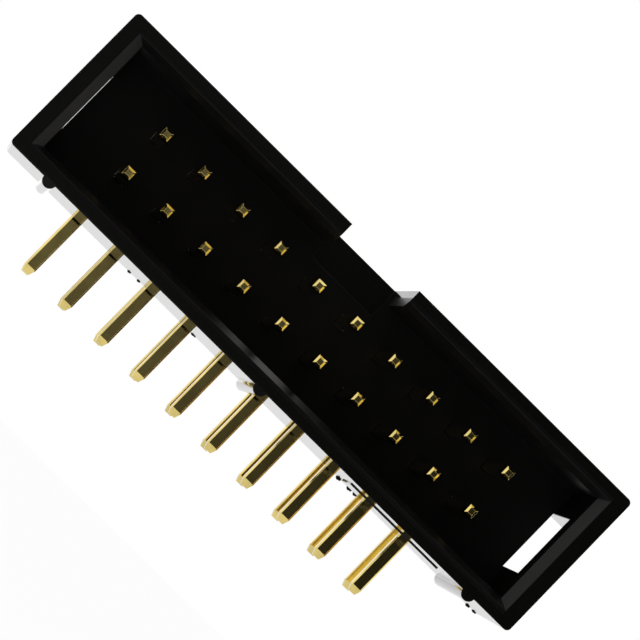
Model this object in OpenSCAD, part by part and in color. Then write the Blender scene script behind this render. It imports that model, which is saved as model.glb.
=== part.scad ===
// Right-angle shrouded box header with two rows of square contacts.
// +Z points up from the circuit board and the seating plane is Z = 0. +X runs along
// the rows, and a plug comes in along +Y. The origin is the middle of the solder tails.

/* [Contacts] */
// Contacts in each row
positions = 10; // [4:1:25]
// Distance between neighbouring contacts and between the two rows
pitch = 2.54; // [2.2:0.02:3]
// Width and height of the square contact wire
pin_w = 0.64; // [0.5:0.02:0.8]
// Bevel along the four edges of the wire
pin_bevel = 0.075; // [0.03:0.005:0.11]
// Radius of the wire's bend, at its centre line
bend_r = 0.9; // [0.6:0.05:1.2]
// Gap from the housing's rear face to the centre of the front tails
rear_to_tails = 1.84; // [1.4:0.02:3]
// Distance of the mating tips behind the rim
tip_inset = 0.5; // [0.2:0.05:1.5]
// Size of the flat at the mating tip
tip_flat = 0.27; // [0.2:0.01:0.34]
// Outer size of the steep ring round the tip's flat
tip_ring = 0.49; // [0.4:0.01:0.5]
// Length of the steep ring
tip_ring_l = 0.11; // [0.05:0.01:0.3]
// Length of the long taper behind the ring
tip_taper_l = 0.55; // [0.2:0.05:1]
// Length of the solder tails below the seating plane
tail_l = 3.2; // [2:0.1:4.5]
// Length of the taper at the end of a tail
tail_taper_l = 0.37; // [0.2:0.01:0.8]
// Size of the flat at the end of a tail
tail_flat = 0.4; // [0.3:0.01:0.5]

/* [Housing] */
// Height of the housing, without its standoff ribs
body_h = 8.6; // [8:0.1:11]
// Depth of the housing from its rim to its rear face
body_d = 9.1; // [7.5:0.1:12]
// Distance from the last contact to the outside of the end wall
end_margin = 5.08; // [4:0.02:7]
// Thickness of the long walls
long_wall = 1; // [0.7:0.05:1.3]
// Thickness of the end walls
end_wall = 1.27; // [0.9:0.01:1.6]
// Thickness of the block that holds the contacts
block_t = 2.5; // [1.5:0.1:4]
// Radius of the four long outer corners
corner_r = 0.25; // [0.1:0.05:0.5]
// How far the shell's middle sits beside the middle of the rows
shell_shift = 0.1; // [-0.2:0.02:0.2]
// How far the rows' middle sits below the shell's middle
rows_drop = 0.09; // [-0.2:0.01:0.2]
// Gap between a contact and its hole, on each side
pin_gap = 0.01; // [0.005:0.005:0.03]

/* [Mouth] */
// Width of the lead-in on the long walls
lead_long = 0.31; // [0.1:0.01:0.5]
// Width of the lead-in on the end walls
lead_end = 0.5; // [0.1:0.01:0.7]
// Depth of the lead-in behind the rim
lead_d = 0.5; // [0.2:0.05:1.2]

/* [Keying notch] */
// Width of the notch in the upper wall
notch_w = 4.5; // [3.5:0.1:5.5]
// Depth of the channel that carries the notch on to the rear face
channel_d = 0.2; // [0.1:0.05:0.5]
// Width of the pocket in the contact block below the notch
pocket_w = 4.1; // [3:0.1:5]
// Depth of the pocket
pocket_d = 0.25; // [0.1:0.05:0.6]
// Gap from the outside of the upper contacts to the pocket's lower edge
pocket_gap = 0.9; // [0.3:0.02:1]

/* [End windows] */
// Height of the window in each end wall
window_h = 3.6; // [2:0.1:5]
// Distance of the window behind the rim
window_inset = 2; // [1.2:0.1:4]

/* [Board side] */
// Height of the standoff ribs
standoff = 0.35; // [0.2:0.05:0.5]
// Width of a standoff rib
rib_w = 0.74; // [0.7:0.02:1.2]
// Distance from the housing's end to the middle of an outer rib
rib_inset = 2.61; // [1.5:0.01:4]
// Length of the raised pad
pad_l = 5.9; // [3:0.1:7]
// Width of the raised pad, along the housing's depth
pad_w = 3.6; // [2:0.1:4.5]
// Height of the raised pad
pad_t = 0.06; // [0.02:0.01:0.1]
// Distance from the housing's end to the pad
pad_end = 4; // [3.2:0.1:6]
// Distance of the pad behind the rim
pad_inset = 3.5; // [1:0.1:4]

/* [Hidden] */
$fn = 48;
// How far a cutter reaches past the face that it opens
over = 1;

// Places of the contacts
row_span = (positions - 1) * pitch;
front_tail_y = -pitch / 2;
rear_tail_y = pitch / 2;

// Outside of the housing
body_l = row_span + 2 * end_margin;
rear_y = front_tail_y - rear_to_tails;
rim_y = rear_y - body_d;
bottom_z = standoff;
top_z = bottom_z + body_h;
mid_z = bottom_z + body_h / 2;
front_row_z = mid_z - rows_drop - pitch / 2;
rear_row_z = mid_z - rows_drop + pitch / 2;

// Inside of the housing
cavity_l = body_l - 2 * end_wall;
cavity_h = body_h - 2 * long_wall;
floor_y = rear_y - block_t;
pocket_z = rear_row_z + pin_w / 2 + pocket_gap;
rib_r = (pow(standoff, 2) + pow(rib_w / 2, 2)) / (2 * standoff);

// Mating tips, and how both ends of a wire grow, as [distance from the end, size]. The last
// step of each runs on past the wire's full size, so that the taper cuts cleanly into it.
tip_y = rim_y + tip_inset;
tip_steps = [[0, tip_flat], [tip_ring_l, tip_ring], [tip_ring_l + 2 * tip_taper_l, 2 * pin_w - tip_ring]];
tail_steps = [[0, tail_flat], [2 * tail_taper_l, 2 * pin_w - tail_flat]];

// Names of the contacts, numbered along +X
function pin_name(row, i) = str("pin_", row, i < 10 ? "_0" : "_", i);
function pin_x(i) = (i - 1) * pitch - row_span / 2;

// Lays a flat drawing of X and Z at a depth, thickened along +Y
module front_view(y, depth) {
    translate([0, y + depth, 0])
        rotate([90, 0, 0])
            linear_extrude(depth) children();
}

// Lays a flat drawing of Y and Z, thickened along X about the middle
module side_view(width) {
    rotate([90, 0, 90])
        linear_extrude(width, center = true) children();
}

// Rectangle with round corners, about its middle
module rounded_rectangle(w, h, r) {
    square([w - 2 * r, h], center = true);
    square([w, h - 2 * r], center = true);
    for (x = [-1, 1], y = [-1, 1])
        translate([x * (w / 2 - r), y * (h / 2 - r)]) circle(r);
}

// Cross-section of the wire, grown by a gap on every side
module wire_section(gap) {
    half = pin_w / 2 + gap;
    cut = half - pin_bevel;
    polygon([
        [cut, half], [-cut, half], [-half, cut], [-half, -cut],
        [-cut, -half], [cut, -half], [half, -cut], [half, cut]
    ]);
}

// Outline of a leg that grows in steps from its flat at the origin, then runs on to its length
module leg_outline(steps, length) {
    last = steps[len(steps) - 1];
    right = [for (s = steps) [s[1] / 2, s[0]]];
    left = [for (k = [len(steps) - 1 : -1 : 0]) [-steps[k][1] / 2, steps[k][0]]];
    top = [[last[1] / 2, length + over], [-last[1] / 2, length + over]];
    polygon(concat(right, top, left));
}

// Straight leg of a wire, standing on its tapered end and growing along +Z
module wire_leg(steps, length) {
    intersection() {
        linear_extrude(length) wire_section(0);
        rotate([90, 0, 0])
            linear_extrude(2 * pin_w, center = true) leg_outline(steps, length);
        side_view(2 * pin_w) leg_outline(steps, length);
    }
}

// One contact about the centre of its bend: mating leg, bend and tail leg
module bent_wire(mating_l, tail_leg_l) {
    translate([0, -mating_l, bend_r])
        rotate([-90, 0, 0]) wire_leg(tip_steps, mating_l);
    rotate([90, 0, 90])
        rotate_extrude(angle = 90) translate([bend_r, 0]) wire_section(0);
    translate([0, bend_r, -tail_leg_l]) wire_leg(tail_steps, tail_leg_l);
}

// One contact in its row
module pin(x, row_z, tail_y) {
    bend_y = tail_y - bend_r;
    bend_z = row_z - bend_r;
    color("goldenrod")
        translate([x, bend_y, bend_z]) bent_wire(bend_y - tip_y, bend_z + tail_l);
}

// Outer block of the housing with its board-side ribs and pad
module housing_outside() {
    front_view(rim_y, body_d)
        translate([0, mid_z]) rounded_rectangle(body_l, body_h, corner_r);
    for (side = [-1, 0, 1])
        front_view(rim_y, body_d)
            translate([side * (body_l / 2 - rib_inset), rib_r]) circle(rib_r);
    translate([body_l / 2 - pad_end - pad_l, rim_y + pad_inset, bottom_z - pad_t])
        cube([pad_l, pad_w, pad_t + long_wall / 2]);
}

// Space inside the shroud, widening to its mouth by the lead-ins
module cavity() {
    half_l = cavity_l / 2;
    half_h = cavity_h / 2;
    lead_y = rim_y + lead_d;
    intersection() {
        linear_extrude(top_z + over)
            polygon([
                [-half_l - lead_end - over * lead_end / lead_d, rim_y - over],
                [-half_l, lead_y], [-half_l, floor_y],
                [half_l, floor_y], [half_l, lead_y],
                [half_l + lead_end + over * lead_end / lead_d, rim_y - over]
            ]);
        side_view(body_l + 2 * over)
            translate([0, mid_z])
                polygon([
                    [rim_y - over, half_h + lead_long + over * lead_long / lead_d],
                    [lead_y, half_h], [floor_y, half_h],
                    [floor_y, -half_h], [lead_y, -half_h],
                    [rim_y - over, -half_h - lead_long - over * lead_long / lead_d]
                ]);
    }
}

// Keying notch through the upper wall, the channel behind it and the pocket below it
module notch() {
    translate([-notch_w / 2, rim_y - over, mid_z])
        cube([notch_w, floor_y - rim_y + over, body_h / 2 + over]);
    translate([-notch_w / 2, floor_y - over, top_z - channel_d])
        cube([notch_w, block_t + 2 * over, channel_d + over]);
    translate([-pocket_w / 2, floor_y - over, pocket_z])
        cube([pocket_w, pocket_d + over, top_z + over - pocket_z]);
}

// Windows through both end walls, open at the rear
module end_windows() {
    for (side = [0, 1])
        mirror([side, 0, 0])
            translate([cavity_l / 2, rim_y + window_inset, mid_z - window_h / 2])
                cube([end_wall + over, body_d - window_inset + over, window_h]);
}

// Holes for the contacts through the block
module pin_holes() {
    for (i = [1 : positions], z = [front_row_z, rear_row_z])
        translate([pin_x(i), 0, z])
            front_view(floor_y - over, block_t + 2 * over) wire_section(pin_gap);
}

// Moulded housing
module housing() {
    color("#1b1b1a") difference() {
        translate([shell_shift, 0, 0]) housing_outside();
        translate([shell_shift, 0, 0]) cavity();
        translate([shell_shift, 0, 0]) end_windows();
        notch();
        pin_holes();
    }
}

housing();
for (i = [1 : positions]) {
    pin(pin_x(i), front_row_z, front_tail_y);
    pin(pin_x(i), rear_row_z, rear_tail_y);
}
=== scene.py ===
"""Dresses a right-angle box header: moulded housing, gold-plated contacts and a white light tent."""

import math

import bmesh
import bpy
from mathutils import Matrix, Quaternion, Vector


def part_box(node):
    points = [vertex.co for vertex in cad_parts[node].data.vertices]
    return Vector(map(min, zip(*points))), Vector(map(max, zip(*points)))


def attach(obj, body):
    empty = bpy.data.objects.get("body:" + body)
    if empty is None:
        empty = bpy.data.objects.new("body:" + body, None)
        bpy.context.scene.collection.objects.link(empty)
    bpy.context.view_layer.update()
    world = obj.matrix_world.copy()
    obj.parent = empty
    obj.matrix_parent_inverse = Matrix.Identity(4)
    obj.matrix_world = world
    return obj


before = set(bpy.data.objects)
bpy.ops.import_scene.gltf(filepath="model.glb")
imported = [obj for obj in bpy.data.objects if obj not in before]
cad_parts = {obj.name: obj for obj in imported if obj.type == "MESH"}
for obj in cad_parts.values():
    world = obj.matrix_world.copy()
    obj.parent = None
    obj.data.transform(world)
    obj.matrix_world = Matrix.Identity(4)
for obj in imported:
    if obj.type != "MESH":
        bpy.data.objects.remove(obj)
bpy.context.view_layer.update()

bl_info = {
    "name": "Box Header",
    "version": (1, 0, 0),
    "blender": (4, 5, 0),
    "location": "View3D > Sidebar > Box Header",
    "description": "Dresses a right-angle box header and sets it in a white light tent",
    "category": "Object",
}

MM = 0.001
WHITE = (1.0, 1.0, 1.0, 1.0)

# Sizes of the housing that its box does not give
STANDOFF = 0.35 * MM
END_WALL = 1.27 * MM
LONG_WALL = 1.0 * MM
LEAD_IN = 0.5 * MM
MOUTH_DEPTH = 6.62 * MM
WINDOW_HALF = 2.0 * MM

# How far a finish reaches past an edge, and how softly it ends there
REACH = 0.05 * MM
SOFT_EDGE = 0.08 * MM

# Where slivers of flash hang along the rear edge, in millimetres along the rows
FLASH_PLACES = (-7.85, -7.2, -3.4, 6.75, 7.5, 7.9, 15.85, 16.3)

# A sliver's outline, one unit long and one high, and how much each one may differ from it
FLAKE_OUTLINE = ((-0.5, 0.0), (-0.3, -0.7), (-0.05, -1.0), (0.2, -0.6), (0.36, -0.8), (0.5, 0.0))
FLAKE_LEAST = (0.6, 1.0, 0.6)
FLAKE_MOST = (1.4, 1.0, 1.3)

SENSOR_WIDTH = 36.0
CAMERA_CLIP = (0.01, 20.0)
FLOOR_HALF = 3.0
FLOOR_NEAR = -0.12
FLOOR_GREY = (0.9, 0.9, 0.9, 1.0)
LAMP_PLACE = Vector((-0.12, 0.1, 0.3))


# ---------------------------------------------------------------- shader maths


class Flow:
    """A shader socket that adds Math nodes when it is used in an expression."""

    def __init__(self, bench, socket):
        self.bench = bench
        self.socket = socket

    def _math(self, operation, *values):
        return self.bench.node("ShaderNodeMath", {"operation": operation}, dict(enumerate(values)))

    def __add__(self, other):
        return self._math("ADD", self, other)

    def __radd__(self, other):
        return self._math("ADD", other, self)

    def __sub__(self, other):
        return self._math("SUBTRACT", self, other)

    def __rsub__(self, other):
        return self._math("SUBTRACT", other, self)

    def __mul__(self, other):
        return self._math("MULTIPLY", self, other)

    def __rmul__(self, other):
        return self._math("MULTIPLY", other, self)

    def size(self):
        """The value without its sign."""
        return self._math("ABSOLUTE", self)

    def maximum(self, other):
        """The larger of the two."""
        return self._math("MAXIMUM", self, other)

    def ramp(self, low, high, from_value=0.0, to_value=1.0):
        """A smooth step that goes from one value at low to another at high."""
        return self.bench.node(
            "ShaderNodeMapRange",
            {"interpolation_type": "SMOOTHSTEP"},
            {"Value": self, "From Min": low, "From Max": high, "To Min": from_value, "To Max": to_value},
        )

    def below(self, edge):
        """1 where the value is below an edge, 0 above it."""
        return self.ramp(edge, edge + SOFT_EDGE, 1.0, 0.0)


class Bench:
    """The nodes of one material or world, each added by its type, settings and inputs."""

    def __init__(self, tree):
        self.tree = tree
        tree.nodes.clear()

    def feed(self, socket, value):
        """Links a flow to a socket, or sets a constant on it."""
        if isinstance(value, Flow):
            self.tree.links.new(value.socket, socket)
        else:
            socket.default_value = value

    def node(self, kind, settings=None, inputs=None, output=0):
        """Adds a node and returns one of its outputs."""
        made = self.tree.nodes.new(kind)
        for name, value in (settings or {}).items():
            setattr(made, name, value)
        for name, value in (inputs or {}).items():
            self.feed(made.inputs[name], value)
        return Flow(self, made.outputs[output]) if made.outputs else None

    def place(self):
        """The place of a point on the object, in metres."""
        return self.node("ShaderNodeTexCoord", output="Object")

    def axes(self, place):
        """The three numbers of a place."""
        first = self.node("ShaderNodeSeparateXYZ", inputs={"Vector": place})
        return [Flow(self, socket) for socket in first.socket.node.outputs]

    def noise(self, place, size, detail=2.0, roughness=0.5):
        """Noise from 0 to 1 whose grains are about that size."""
        return self.node(
            "ShaderNodeTexNoise",
            {"noise_dimensions": "3D"},
            {"Vector": place, "Scale": 1 / size, "Detail": detail, "Roughness": roughness},
        )

    def stretched(self, place, scale):
        """A place stretched along the axes, so that a pattern on it turns to streaks."""
        return self.node("ShaderNodeVectorMath", {"operation": "MULTIPLY"}, {0: place, 1: scale})

    def colour_mix(self, share, first, second):
        """A colour between two others."""
        mix = self.tree.nodes.new("ShaderNodeMix")
        mix.data_type = "RGBA"
        shown = [socket for socket in mix.inputs if socket.enabled]
        for socket, value in zip(shown, (share, first, second)):
            self.feed(socket, value)
        return Flow(self, next(socket for socket in mix.outputs if socket.enabled))

    def skin(self, height, strength, depth, edge_radius):
        """Normals of a fine relief on softened edges."""
        edges = self.node("ShaderNodeBevel", {"samples": 6}, {"Radius": edge_radius})
        relief = {"Strength": strength, "Distance": depth, "Height": height, "Normal": edges}
        return self.node("ShaderNodeBump", inputs=relief)

    def finish(self, kind, shader):
        """Sends a shader to the output of the material or world."""
        self.node(kind, inputs={"Surface": shader})


def new_material(name):
    """A material of that name and the bench for its nodes."""
    material = bpy.data.materials.new(name)
    material.use_nodes = True
    return material, Bench(material.node_tree)


def shade(colour, share):
    """A colour made darker, or lighter where the share is above 1."""
    return tuple(min(1.0, share * c) for c in colour[:3]) + (1.0,)


# ---------------------------------------------------------------- finishes


def standing_middle():
    """Height of the middle of the shell, which stands on its ribs."""
    low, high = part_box("housing")
    return (low[2] + high[2] + STANDOFF) / 2


def shell_distances(bench, place):
    """How far a point is sideways and upright from the shell's middle, and how far behind its rim."""
    low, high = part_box("housing")
    across, along, up = bench.axes(place)
    sideways = (across - (low[0] + high[0]) / 2).size()
    upright = (up - standing_middle()).size()
    return sideways, upright, along - low[1]


def mouth_mask(bench, place):
    """1 on the mouth's walls and lead-in, 0 elsewhere; there the plastic is rougher and its colour
    darkened as painted shade.
    """
    low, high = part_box("housing")
    sideways, upright, behind = shell_distances(bench, place)
    half_x = (high[0] - low[0]) / 2 - END_WALL
    half_z = high[2] - standing_middle() - LONG_WALL
    walls = sideways.below(half_x + REACH)
    lead = sideways.below(half_x + LEAD_IN) * behind.below(LEAD_IN)
    return walls.maximum(lead) * upright.below(half_z + LEAD_IN) * behind.below(MOUTH_DEPTH)


def polish_mask(bench, place):
    """1 on the board side and on the end windows' reveals, which the mould left smooth."""
    low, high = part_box("housing")
    sideways, upright, behind = shell_distances(bench, place)
    half_x = (high[0] - low[0]) / 2
    board_side = bench.axes(place)[2].below(low[2] + STANDOFF + REACH)
    in_wall = (1 - sideways.below(half_x - END_WALL + REACH)) * sideways.below(half_x - REACH - SOFT_EDGE)
    reveal = in_wall * (1 - behind.below(LEAD_IN)) * upright.below(WINDOW_HALF)
    return board_side.maximum(reveal)


def moulded_plastic(look):
    """Black moulded plastic: a fine skin, faint flow clouds, a rougher mouth whose colour is darkened as
    painted shade, and softened edges.
    """
    material, bench = new_material("moulded_plastic")
    place = bench.place()
    mouth = mouth_mask(bench, place)
    polish = polish_mask(bench, place)
    clouds = bench.noise(place, look.cloud_size, detail=3.0)
    grain = bench.noise(place, look.grain_size, detail=3.0, roughness=0.6)
    cloudy = bench.colour_mix(clouds, tuple(look.colour), shade(look.colour, look.cloud_gain))
    dulled = mouth * look.mouth_roughness + (clouds - 0.5) * look.cloud_roughness
    shader = bench.node(
        "ShaderNodeBsdfPrincipled",
        inputs={
            # Painted shade: the mouth's base colour is darkened to a share of the plastic's, standing in
            # for the shade inside the recess.
            "Base Color": bench.colour_mix(mouth, cloudy, shade(look.colour, look.mouth_painted_shade)),
            "Roughness": look.roughness + dulled - polish * look.polish,
            "Normal": bench.skin(grain, look.skin_strength, look.skin_depth, look.edge_radius),
            "IOR": 1.5,
            "Specular IOR Level": look.specular,
            "Coat Weight": polish,
            "Coat Roughness": look.coat_roughness,
        },
    )
    bench.finish("ShaderNodeOutputMaterial", shader)
    return material


def plated_wire(look):
    """Thin gold over drawn wire: draw lines along it, clouds in its tint and softened edges."""
    material, bench = new_material("plated_wire")
    place = bench.place()
    clouds = bench.noise(place, look.cloud_size)
    along_wire = bench.stretched(place, (1.0, look.line_stretch, look.line_stretch))
    lines = bench.noise(along_wire, look.line_width)
    deep = shade(look.colour, look.cloud_shade)
    shader = bench.node(
        "ShaderNodeBsdfPrincipled",
        inputs={
            "Base Color": bench.colour_mix(clouds.ramp(0.3, 0.7), tuple(look.colour), deep),
            "Metallic": 1.0,
            "Roughness": look.roughness + (clouds - 0.5) * look.cloud_roughness,
            "Normal": bench.skin(lines, look.line_strength, look.line_depth, look.edge_radius),
        },
    )
    bench.finish("ShaderNodeOutputMaterial", shader)
    return material


def dress(nodes, material):
    """Gives CAD nodes one material all over."""
    for name in nodes:
        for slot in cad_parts[name].material_slots:
            slot.link = "OBJECT"
            slot.material = material


# ---------------------------------------------------------------- flash left by the mould


def flake_mesh():
    """A thin sliver of plastic one unit long and high, hanging from its root along X."""
    mesh = bpy.data.meshes.new("flake")
    made = bmesh.new()
    front = [made.verts.new((x, -0.5, z)) for x, z in FLAKE_OUTLINE]
    back = [made.verts.new((x, 0.5, z)) for x, z in FLAKE_OUTLINE]
    made.faces.new(front)
    made.faces.new(list(reversed(back)))
    for k, corner in enumerate(front):
        after = (k + 1) % len(front)
        made.faces.new((corner, back[k], back[after], front[after]))
    bmesh.ops.recalc_face_normals(made, faces=made.faces)
    made.to_mesh(mesh)
    made.free()
    return mesh


def flake_tree(flake, material):
    """Geometry Nodes that hang a flake from every point, each of its own length and height."""
    tree = bpy.data.node_groups.new("flash_flakes", "GeometryNodeTree")
    tree.is_modifier = True
    face = tree.interface
    face.new_socket("Geometry", in_out="INPUT", socket_type="NodeSocketGeometry")
    for name in ("Length", "Height", "Thickness"):
        face.new_socket(name, in_out="INPUT", socket_type="NodeSocketFloat")
    face.new_socket("Seed", in_out="INPUT", socket_type="NodeSocketInt")
    face.new_socket("Geometry", in_out="OUTPUT", socket_type="NodeSocketGeometry")

    nodes = tree.nodes
    entry = nodes.new("NodeGroupInput")
    leave = nodes.new("NodeGroupOutput")
    shape = nodes.new("GeometryNodeObjectInfo")
    shape.inputs["Object"].default_value = flake
    spread = nodes.new("FunctionNodeRandomValue")
    spread.data_type = "FLOAT_VECTOR"
    spread.inputs[0].default_value = FLAKE_LEAST
    spread.inputs[1].default_value = FLAKE_MOST
    size = nodes.new("ShaderNodeCombineXYZ")
    scale = nodes.new("ShaderNodeVectorMath")
    scale.operation = "MULTIPLY"
    hang = nodes.new("GeometryNodeInstanceOnPoints")
    real = nodes.new("GeometryNodeRealizeInstances")
    paint = nodes.new("GeometryNodeSetMaterial")
    paint.inputs["Material"].default_value = material

    link = tree.links.new
    link(entry.outputs["Seed"], spread.inputs["Seed"])
    for axis, name in enumerate(("Length", "Thickness", "Height")):
        link(entry.outputs[name], size.inputs[axis])
    link(size.outputs[0], scale.inputs[0])
    link(spread.outputs[0], scale.inputs[1])
    link(entry.outputs["Geometry"], hang.inputs["Points"])
    link(shape.outputs["Geometry"], hang.inputs["Instance"])
    link(scale.outputs[0], hang.inputs["Scale"])
    link(hang.outputs[0], real.inputs[0])
    link(real.outputs[0], paint.inputs["Geometry"])
    link(paint.outputs[0], leave.inputs[0])
    return tree


def make_flash(settings, material):
    """Slivers of flash along the rear edge of the board side."""
    low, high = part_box("housing")
    edge_y = high[1] - settings.flake_thickness / 2
    edge_z = low[2] + STANDOFF
    points = bpy.data.meshes.new("points")
    points.from_pydata([(x * MM, edge_y, edge_z) for x in FLASH_PLACES], [], [])
    flash = bpy.data.objects.new("flash", points)
    bpy.context.scene.collection.objects.link(flash)
    sliver = flake_mesh()
    flake = bpy.data.objects.new("flake", sliver)
    tree = flake_tree(flake, material)
    grow = flash.modifiers.new("flakes", "NODES")
    grow.node_group = tree
    values = {
        "Length": settings.flake_length,
        "Height": settings.flake_height,
        "Thickness": settings.flake_thickness,
        "Seed": settings.seed,
    }
    for item in tree.interface.items_tree:
        if item.in_out == "INPUT" and item.name in values:
            grow[item.identifier] = values[item.name]
    evaluated = flash.evaluated_get(bpy.context.evaluated_depsgraph_get())
    mesh = bpy.data.meshes.new_from_object(evaluated)
    if not mesh.polygons:
        raise RuntimeError("no flash was made")
    flash.modifiers.clear()
    mesh.name = "flash"
    flash.data = mesh
    bpy.data.meshes.remove(points)
    bpy.data.objects.remove(flake)
    bpy.data.meshes.remove(sliver)
    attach(flash, "root")


# ---------------------------------------------------------------- stage


def make_tent(settings):
    """White all round, with a darker opening in front and pure white behind the object."""
    world = bpy.data.worlds.new("light_tent")
    world.use_nodes = True
    bpy.context.scene.world = world
    bench = Bench(world.node_tree)
    across, depth, _ = bench.axes(bench.node("ShaderNodeTexCoord", output="Generated"))
    wall = depth.ramp(-0.85, -0.35)
    opening = across.ramp(0.0, 0.15, settings.dark_side, settings.dark_side * settings.dark_fall)
    level = opening + wall * (1 - opening)
    seen = bench.node("ShaderNodeLightPath", output="Is Camera Ray")
    light = bench.node("ShaderNodeBackground", inputs={"Color": WHITE, "Strength": seen.maximum(level)})
    bench.finish("ShaderNodeOutputWorld", light)


def make_floor(settings):
    """A wide white floor below the object, which ends where the tent opens."""
    z = -settings.floor_drop
    corners = [
        (-FLOOR_HALF, FLOOR_NEAR, z),
        (FLOOR_HALF, FLOOR_NEAR, z),
        (FLOOR_HALF, FLOOR_HALF, z),
        (-FLOOR_HALF, FLOOR_HALF, z),
    ]
    mesh = bpy.data.meshes.new("floor")
    mesh.from_pydata(corners, [], [(0, 1, 2, 3)])
    floor = bpy.data.objects.new("floor", mesh)
    bpy.context.scene.collection.objects.link(floor)
    material, bench = new_material("floor_paper")
    paper = bench.node("ShaderNodeBsdfDiffuse", inputs={"Color": FLOOR_GREY})
    white = bench.node("ShaderNodeEmission", inputs={"Color": WHITE, "Strength": 1.0})
    seen = bench.node("ShaderNodeLightPath", output="Is Camera Ray")
    mixed = bench.node("ShaderNodeMixShader", inputs={0: seen * settings.floor_white, 1: paper, 2: white})
    bench.finish("ShaderNodeOutputMaterial", mixed)
    mesh.materials.append(material)


def make_lamp(settings):
    """One large soft lamp above and behind the object."""
    light = bpy.data.lights.new("soft_lamp", "AREA")
    light.size = settings.lamp_size
    light.energy = settings.lamp_power
    lamp = bpy.data.objects.new("soft_lamp", light)
    lamp.location = LAMP_PLACE
    lamp.rotation_mode = "QUATERNION"
    lamp.rotation_quaternion = (-LAMP_PLACE).to_track_quat("-Z", "Y")
    bpy.context.scene.collection.objects.link(lamp)


def make_camera(settings):
    """The camera in front of the mating face, turned about its line of sight."""
    low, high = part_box("housing")
    aim = Vector(((low[0] + high[0]) / 2 + settings.aim_side, low[1], standing_middle()))
    back = Vector((
        math.sin(settings.azimuth) * math.cos(settings.elevation),
        -math.cos(settings.azimuth) * math.cos(settings.elevation),
        math.sin(settings.elevation),
    ))
    data = bpy.data.cameras.new("camera")
    data.sensor_width = SENSOR_WIDTH
    data.lens = settings.lens
    data.clip_start, data.clip_end = CAMERA_CLIP
    camera = bpy.data.objects.new("camera", data)
    camera.location = aim + back * settings.distance
    camera.rotation_mode = "QUATERNION"
    level = (-back).to_track_quat("-Z", "Y")
    camera.rotation_quaternion = level @ Quaternion((0.0, 0.0, 1.0), settings.roll)
    bpy.context.scene.collection.objects.link(camera)
    bpy.context.scene.camera = camera


# ---------------------------------------------------------------- settings


def length(name, description, default):
    """A length property, in metres."""
    return bpy.props.FloatProperty(
        name=name, description=description, default=default, unit="LENGTH", precision=6)


def share(name, description, default, most=1.0):
    """A property that goes from 0 to a most, 1 unless told."""
    return bpy.props.FloatProperty(name=name, description=description, default=default, min=0.0, max=most)


def tint(name, description, default):
    """A colour property."""
    return bpy.props.FloatVectorProperty(
        name=name, description=description, default=default, subtype="COLOR", size=4, min=0.0, max=1.0)


def angle(name, description, degrees):
    """An angle property, told in degrees."""
    return bpy.props.FloatProperty(
        name=name, description=description, default=math.radians(degrees), subtype="ANGLE")


class HousingLook(bpy.types.PropertyGroup):
    """How the moulded housing looks."""

    colour: tint("Plastic", "Colour of the plastic", (0.0034, 0.0034, 0.0026, 1.0))
    cloud_size: length("Cloud size", "Size of the flow clouds", 2.2 * MM)
    cloud_gain: share("Cloud gain", "How much lighter the clouds are", 1.5, most=4.0)
    cloud_roughness: share("Cloud roughness", "How much the clouds change the roughness", 0.06)
    grain_size: length("Grain size", "Size of the grain in the skin", 0.06 * MM)
    skin_depth: length("Skin depth", "Depth of the grain in the skin", 0.002 * MM)
    skin_strength: share("Skin strength", "How strongly the grain shows", 0.2)
    roughness: share("Roughness", "Roughness of the moulded skin", 0.16)
    specular: share("Specular", "How strongly the skin reflects", 0.32)
    # Painted shade: the share of the plastic's colour left in the mouth, which darkens the recess.
    mouth_roughness: share("Mouth roughness", "How much rougher the mouth's walls are", 0.2)
    mouth_painted_shade: share("Mouth shade", "How bright the mouth is beside the outside", 0.3)
    polish: share("Polish", "How much smoother the board side and window reveals are", 0.08)
    coat_roughness: share("Coat roughness", "Roughness of the smooth faces' gloss", 0.03)
    edge_radius: length("Edge radius", "Rounding of the moulded edges", 0.04 * MM)


class FlashSettings(bpy.types.PropertyGroup):
    """Slivers of flash that the mould left."""

    flake_length: length("Flake length", "Length of a sliver along the edge", 0.26 * MM)
    flake_height: length("Flake height", "How far a sliver hangs below the edge", 0.1 * MM)
    flake_thickness: length("Flake thickness", "Thickness of a sliver", 0.03 * MM)
    seed: bpy.props.IntProperty(name="Seed", description="Seed for the slivers' sizes", default=7, min=0)


class ContactLook(bpy.types.PropertyGroup):
    """How the plated contacts look."""

    colour: tint("Gold", "Colour of the plating", (0.9, 0.72, 0.25, 1.0))
    cloud_size: length("Cloud size", "Size of the clouds in the tint", 0.9 * MM)
    cloud_shade: share("Cloud shade", "How bright the deeper tint is", 0.82)
    cloud_roughness: share("Cloud roughness", "How much the clouds change the roughness", 0.06)
    roughness: share("Roughness", "Roughness of the plating", 0.07)
    line_width: length("Line width", "Width of the draw lines", 0.03 * MM)
    line_stretch: share("Line stretch", "Width of a draw line beside its length", 0.04)
    line_depth: length("Line depth", "Depth of the draw lines", 0.003 * MM)
    line_strength: share("Line strength", "How strongly the draw lines show", 0.06)
    edge_radius: length("Edge radius", "Rounding of the wire's edges", 0.02 * MM)


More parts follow.
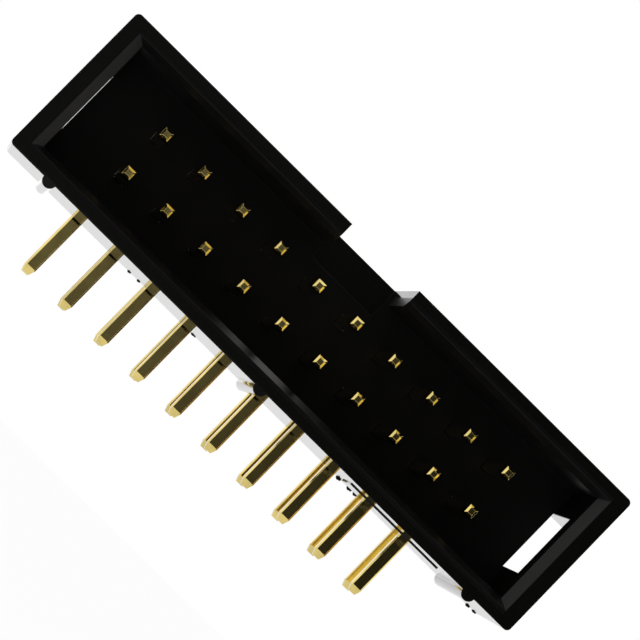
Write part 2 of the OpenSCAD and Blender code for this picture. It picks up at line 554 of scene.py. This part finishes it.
class StageSettings(bpy.types.PropertyGroup):
    """Camera, floor and light tent."""

    azimuth: angle("Azimuth", "How far the camera stands round from straight in front", -4.74)
    elevation: angle("Elevation", "How far the camera stands above level", -4.08)
    roll: angle("Roll", "Turn of the camera about its own line of sight", 44.38)
    distance: length("Distance", "From the camera to the mating face", 174.0 * MM)
    lens: bpy.props.FloatProperty(
        name="Lens", description="Focal length for a sensor 36 mm wide, in millimetres", default=207.5,
        min=20.0)
    aim_side: length("Aim", "How far beside the middle of the mating face the camera aims", -0.27 * MM)
    floor_drop: length("Floor drop", "From the board's surface down to the floor", 35.0 * MM)
    floor_white: share("Floor white", "How much of the floor's shading the camera is spared", 0.9)
    dark_side: share("Dark side", "Brightness of the tent's opening, where the camera stands", 0.12)
    dark_fall: share("Dark fall", "How bright the opening's right side is beside its left", 0.15)
    lamp_size: length("Lamp size", "Width of the soft lamp", 0.3)
    lamp_power: share("Lamp power", "Power of the soft lamp, in watts", 0.15, most=10.0)


# ---------------------------------------------------------------- operators


class HEADER_OT_housing(bpy.types.Operator):
    """Give the moulded housing its plastic"""

    bl_idname = "header.housing"
    bl_label = "Housing"

    def execute(self, context):
        dress(["housing"], moulded_plastic(context.scene.housing_look))
        return {"FINISHED"}


class HEADER_OT_flash(bpy.types.Operator):
    """Hang the slivers of flash along the housing's rear edge"""

    bl_idname = "header.flash"
    bl_label = "Flash"

    def execute(self, context):
        material = bpy.data.materials.get("moulded_plastic")
        if material is None:
            raise RuntimeError("the housing has no plastic yet")
        make_flash(context.scene.flash_settings, material)
        return {"FINISHED"}


class HEADER_OT_contacts(bpy.types.Operator):
    """Give both rows of contacts their gold plating"""

    bl_idname = "header.contacts"
    bl_label = "Contacts"

    def execute(self, context):
        wires = [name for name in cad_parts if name.startswith("pin_")]
        if not wires:
            raise RuntimeError("the frame holds no contacts")
        dress(wires, plated_wire(context.scene.contact_look))
        return {"FINISHED"}


class HEADER_OT_stage(bpy.types.Operator):
    """Build the light tent, the floor, the lamp and the camera"""

    bl_idname = "header.stage"
    bl_label = "Stage"

    def execute(self, context):
        settings = context.scene.stage_settings
        make_tent(settings)
        make_floor(settings)
        make_lamp(settings)
        make_camera(settings)
        return {"FINISHED"}


class HEADER_PT_panel(bpy.types.Panel):
    """Lists the pieces and their settings"""

    bl_idname = "HEADER_PT_panel"
    bl_label = "Box Header"
    bl_space_type = "VIEW_3D"
    bl_region_type = "UI"
    bl_category = "Box Header"

    def draw(self, context):
        for operator in OPERATORS:
            self.layout.operator(operator.bl_idname)
        for group, kind in SETTINGS.items():
            settings = getattr(context.scene, group)
            box = self.layout.box()
            for name in kind.__annotations__:
                box.prop(settings, name)


OPERATORS = (HEADER_OT_housing, HEADER_OT_flash, HEADER_OT_contacts, HEADER_OT_stage)
SETTINGS = {
    "housing_look": HousingLook,
    "flash_settings": FlashSettings,
    "contact_look": ContactLook,
    "stage_settings": StageSettings,
}


def register():
    """Registers the settings, operators and panel."""
    for group, kind in SETTINGS.items():
        bpy.utils.register_class(kind)
        setattr(bpy.types.Scene, group, bpy.props.PointerProperty(type=kind))
    for kind in OPERATORS:
        bpy.utils.register_class(kind)
    bpy.utils.register_class(HEADER_PT_panel)


def unregister():
    """Removes the settings, operators and panel."""
    bpy.utils.unregister_class(HEADER_PT_panel)
    for kind in reversed(OPERATORS):
        bpy.utils.unregister_class(kind)
    for group, kind in SETTINGS.items():
        delattr(bpy.types.Scene, group)
        bpy.utils.unregister_class(kind)


def main():
    """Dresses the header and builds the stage."""
    register()
    bpy.context.scene.view_settings.view_transform = "Standard"
    bpy.ops.header.housing()
    bpy.ops.header.flash()
    bpy.ops.header.contacts()
    bpy.ops.header.stage()


if __name__ == "__main__":
    main()
